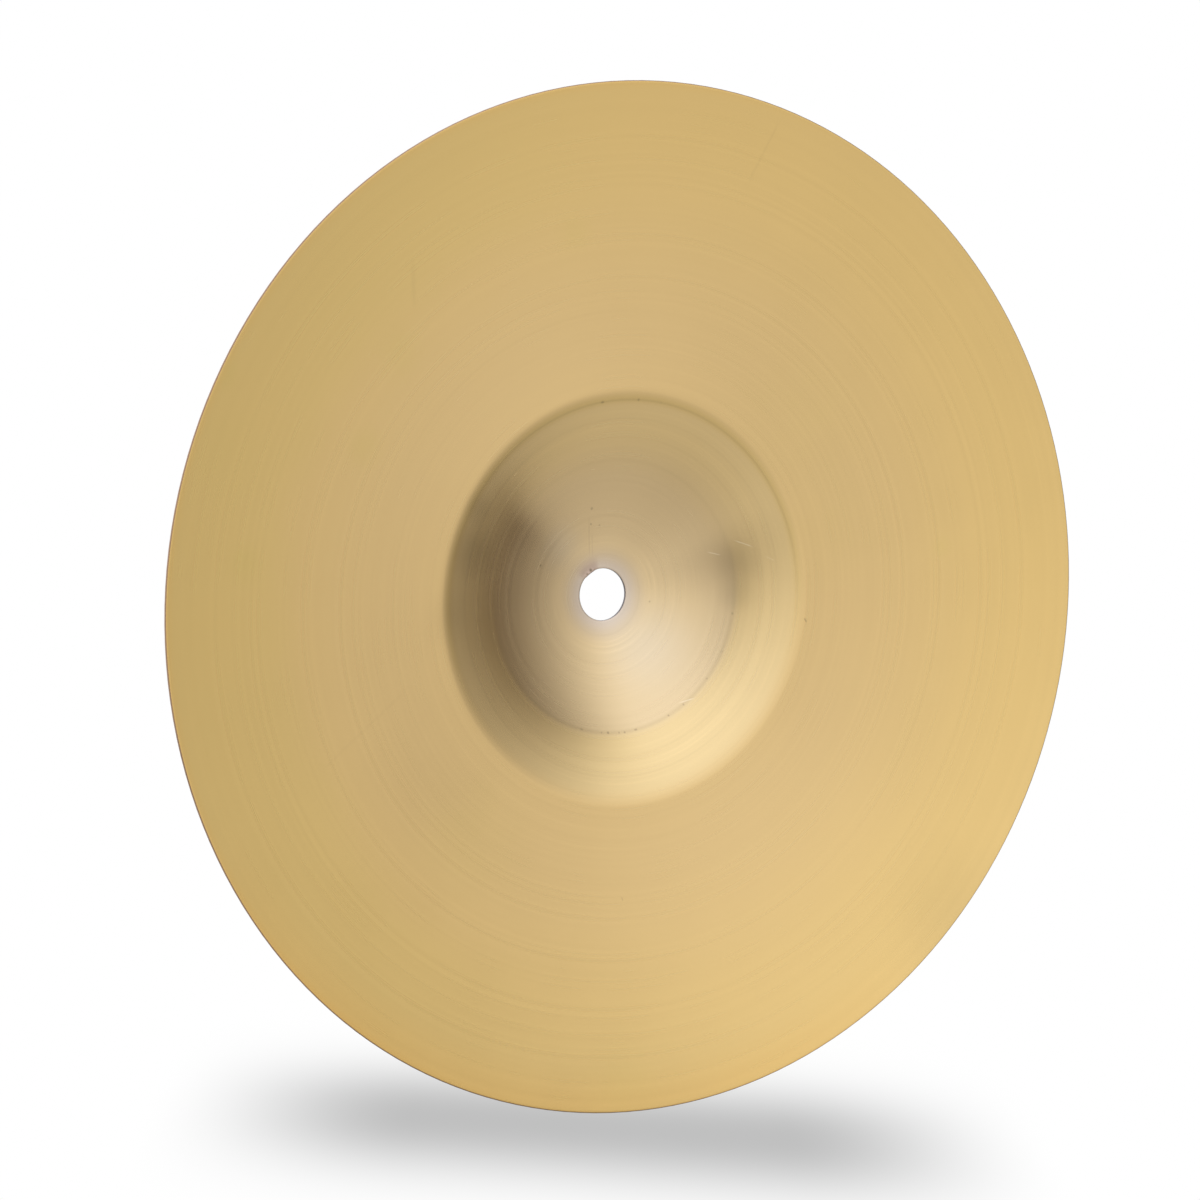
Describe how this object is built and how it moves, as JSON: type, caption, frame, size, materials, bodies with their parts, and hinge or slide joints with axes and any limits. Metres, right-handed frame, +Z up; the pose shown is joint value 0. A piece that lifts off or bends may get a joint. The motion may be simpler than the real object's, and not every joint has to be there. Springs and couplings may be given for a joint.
{
  "type": "crash cymbal",
  "caption": "Round thin brass cymbal with a shallow bow, a raised bell and a plain centre hole, spun finish.",
  "frame": {"origin": "on the cymbal's axis, halfway through the wall of the centre hole", "axes": "+Y along the cymbal's axis, out of the crown of the bell; the hollow underside faces -Y; +Z up, with the cymbal upright on its edge as the picture shows it"},
  "size_m": [0.254, 0.0212, 0.254],
  "materials": {
    "brass_sheet": "satin, spun in concentric rings"
  },
  "bodies": {
    "root": {"cymbal": "brass_sheet"}
  },
  "joints": []
}
